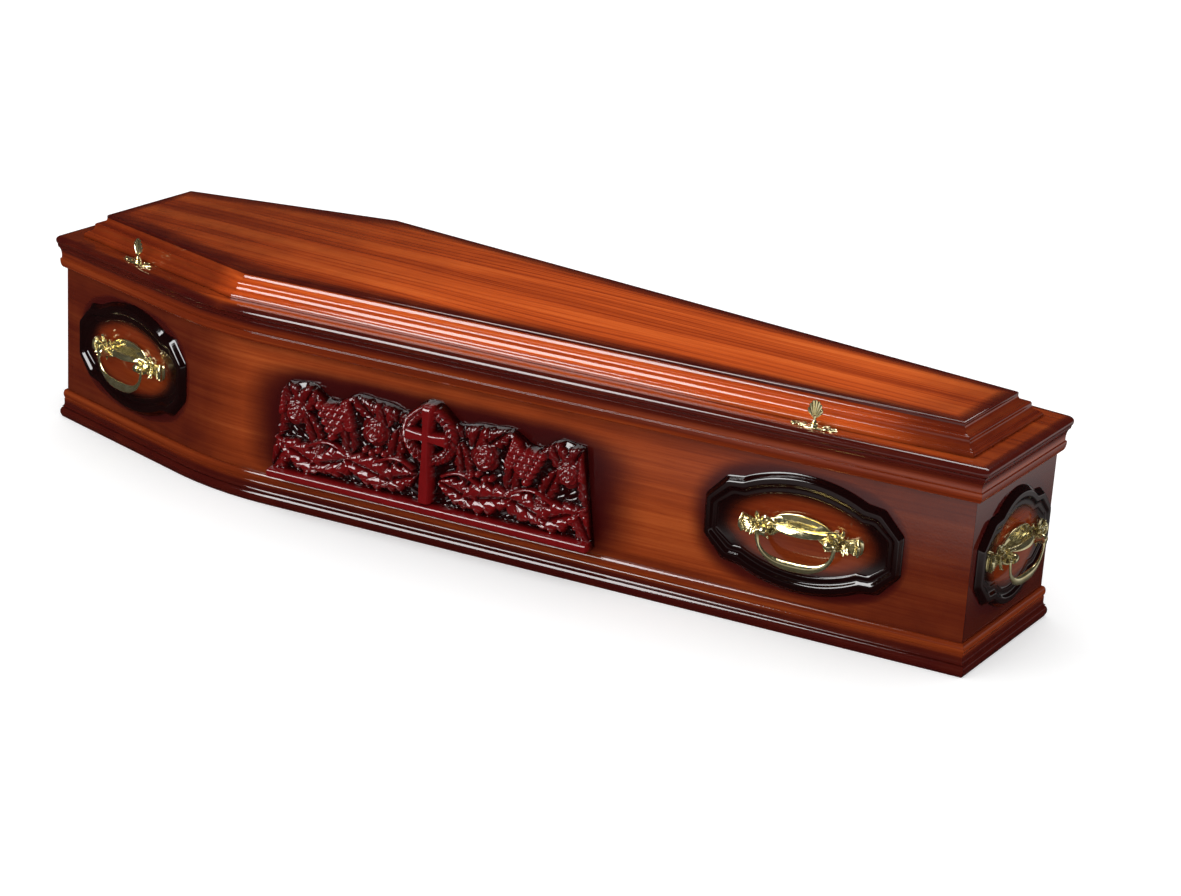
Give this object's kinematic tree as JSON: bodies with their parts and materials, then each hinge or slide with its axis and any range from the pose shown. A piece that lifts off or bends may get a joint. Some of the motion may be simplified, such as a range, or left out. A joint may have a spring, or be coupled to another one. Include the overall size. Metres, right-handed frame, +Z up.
{
  "type": "coffin",
  "caption": "Shouldered wooden coffin with a raised moulded lid, carved side panels, routed plaques, brass swing handles and lid screws",
  "frame": {"origin": "on the floor under the middle of the coffin's length and width", "axes": "+X towards the foot end, -X towards the head end, -Y the side shown in the picture, +Z up"},
  "size_m": [1.9984, 0.646, 0.4141],
  "materials": {
    "side_wood": "gloss lacquer over red-brown mahogany stain",
    "lid_wood": "gloss lacquer over orange-brown mahogany, toned dark at the edges",
    "dark_wood": "gloss lacquer over a near-black burgundy stain",
    "brass": "polished"
  },
  "bodies": {
    "coffin": {"base_board": "side_wood", "carved_relief_left": "dark_wood", "carved_relief_right": "dark_wood", "foot_board": "side_wood", "handle_plaque_foot": "dark_wood", "handle_plaque_head": "dark_wood", "handle_plaque_left_foot": "dark_wood", "handle_plaque_left_head": "dark_wood", "handle_plaque_right_foot": "dark_wood", "handle_plaque_right_head": "dark_wood", "handle_plate_foot": "brass", "handle_plate_head": "brass", "handle_plate_left_foot": "brass", "handle_plate_left_head": "brass", "handle_plate_right_foot": "brass", "handle_plate_right_head": "brass", "head_board": "side_wood", "lid_board": "lid_wood", "lid_moulding_foot": "lid_wood", "lid_moulding_head": "lid_wood", "lid_moulding_left_foot": "lid_wood", "lid_moulding_left_head": "lid_wood", "lid_moulding_right_foot": "lid_wood", "lid_moulding_right_head": "lid_wood", "lid_panel": "lid_wood", "lid_screw_left_foot": "brass", "lid_screw_left_head": "brass", "lid_screw_plate_left_foot": "brass", "lid_screw_plate_left_head": "brass", "plinth_moulding_foot": "side_wood", "plinth_moulding_head": "side_wood", "plinth_moulding_left": "side_wood", "plinth_moulding_right": "side_wood", "side_board_left": "side_wood", "side_board_right": "side_wood", "upper_moulding_foot": "side_wood", "upper_moulding_head": "side_wood", "upper_moulding_left": "side_wood", "upper_moulding_right": "side_wood"},
    "bail_left_head": {"handle_bail_left_head": "brass"},
    "bail_left_foot": {"handle_bail_left_foot": "brass"},
    "bail_foot": {"handle_bail_foot": "brass"},
    "bail_right_foot": {"handle_bail_right_foot": "brass"},
    "bail_right_head": {"handle_bail_right_head": "brass"},
    "bail_head": {"handle_bail_head": "brass"}
  },
  "joints": [
    {"name": "bail_swing_left_head", "type": "hinge", "parent": "coffin", "child": "bail_left_head", "pos_m": [-0.75322, -0.25674, 0.183], "axis": [-0.9675, 0.253, 0], "range_deg": [-12, 90]},
    {"name": "bail_swing_left_foot", "type": "hinge", "parent": "coffin", "child": "bail_left_foot", "pos_m": [0.67027, -0.21807, 0.183], "axis": [-0.9956, -0.0939, 0], "range_deg": [-12, 90]},
    {"name": "bail_swing_foot", "type": "hinge", "parent": "coffin", "child": "bail_foot", "pos_m": [0.9916, 0, 0.183], "axis": [0, -1, 0], "range_deg": [-12, 90]},
    {"name": "bail_swing_right_foot", "type": "hinge", "parent": "coffin", "child": "bail_right_foot", "pos_m": [0.67027, 0.21807, 0.183], "axis": [0.9956, -0.0939, 0], "range_deg": [-12, 90]},
    {"name": "bail_swing_right_head", "type": "hinge", "parent": "coffin", "child": "bail_right_head", "pos_m": [-0.75322, 0.25674, 0.183], "axis": [0.9675, 0.253, 0], "range_deg": [-12, 90]},
    {"name": "bail_swing_head", "type": "hinge", "parent": "coffin", "child": "bail_head", "pos_m": [-0.9916, 0, 0.183], "axis": [0, 1, 0], "range_deg": [-12, 90]}
  ]
}
